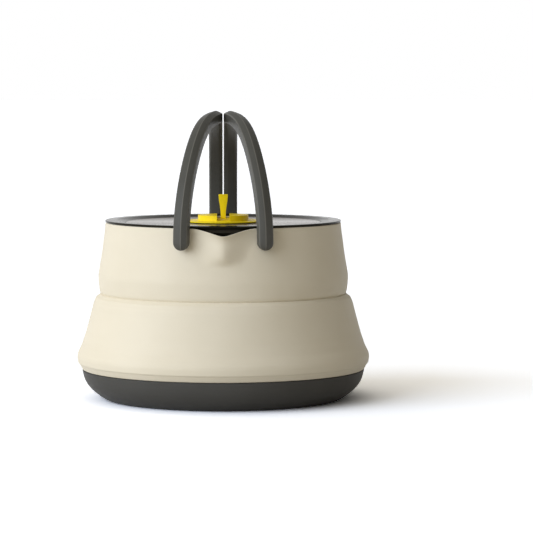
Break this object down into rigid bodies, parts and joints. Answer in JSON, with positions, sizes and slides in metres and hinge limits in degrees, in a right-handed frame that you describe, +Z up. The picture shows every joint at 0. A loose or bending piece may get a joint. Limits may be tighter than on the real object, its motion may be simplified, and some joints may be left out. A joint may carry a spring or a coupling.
{
  "type": "collapsible kettle",
  "caption": "Camping kettle with a metal base pan, a folding silicone wall with a spout, two swinging arch handles and a lid with a fold-down tab.",
  "frame": {"origin": "centre of the flat bottom of the base pan", "axes": "+Z up along the kettle's axis, -Y towards the spout, +X to the right as seen from the spout side"},
  "size_m": [0.16, 0.16, 0.1575],
  "materials": {
    "anodised": "dark grey satin anodised",
    "silicone": "matte bone ivory silicone",
    "nylon": "black moulded nylon",
    "grip": "dark grey satin moulded nylon",
    "steel": "turned steel",
    "lid": "dark grey satin moulding",
    "window": "smooth smoke grey plastic",
    "seal": "black silicone",
    "yellow": "yellow moulded plastic"
  },
  "bodies": {
    "base": {"base_pan": "anodised", "base_ring": "nylon", "wall_lower": "silicone", "wall_fold": "silicone"},
    "rim": {"wall_upper": "silicone", "rim_ring": "nylon", "pivot_bush_front_left": "nylon", "pivot_bush_front_right": "nylon", "pivot_bush_rear_left": "nylon", "pivot_bush_rear_right": "nylon"},
    "left_arch": {"handle_left": "grip", "pivot_pin_front_left": "steel", "pivot_pin_rear_left": "steel", "pivot_clip_front_left": "steel", "pivot_clip_rear_left": "steel"},
    "right_arch": {"handle_right": "grip", "pivot_pin_front_right": "steel", "pivot_pin_rear_right": "steel", "pivot_clip_front_right": "steel", "pivot_clip_rear_right": "steel"},
    "lid": {"lid_frame": "lid", "lid_window": "window", "lid_gasket": "seal", "knob_base": "yellow", "tab_pin": "steel", "knob_washer": "seal", "knob_nut": "steel"},
    "tab": {"lid_tab": "yellow"}
  },
  "joints": [
    {"name": "collapse", "type": "slide", "parent": "base", "child": "rim", "axis": [0, 0, -1], "range_m": [0, 0.045], "deforming": ["wall_fold"]},
    {"name": "left_handle_fold", "type": "hinge", "parent": "rim", "child": "left_arch", "pos_m": [-0.0223, -0.0665, 0.0894], "axis": [-0.1318, -0.9913, 0], "range_deg": [0, 90]},
    {"name": "right_handle_fold", "type": "hinge", "parent": "rim", "child": "right_arch", "pos_m": [0.0223, -0.0665, 0.0894], "axis": [-0.1318, 0.9913, 0], "range_deg": [0, 90]},
    {"name": "lid_lift", "type": "slide", "parent": "rim", "child": "lid", "axis": [0, 0, 1], "range_m": [0, 0.005]},
    {"name": "tab_fold", "type": "hinge", "parent": "lid", "child": "tab", "pos_m": [0, 0, 0.0995], "axis": [-1, 0, 0], "range_deg": [0, 90]}
  ]
}
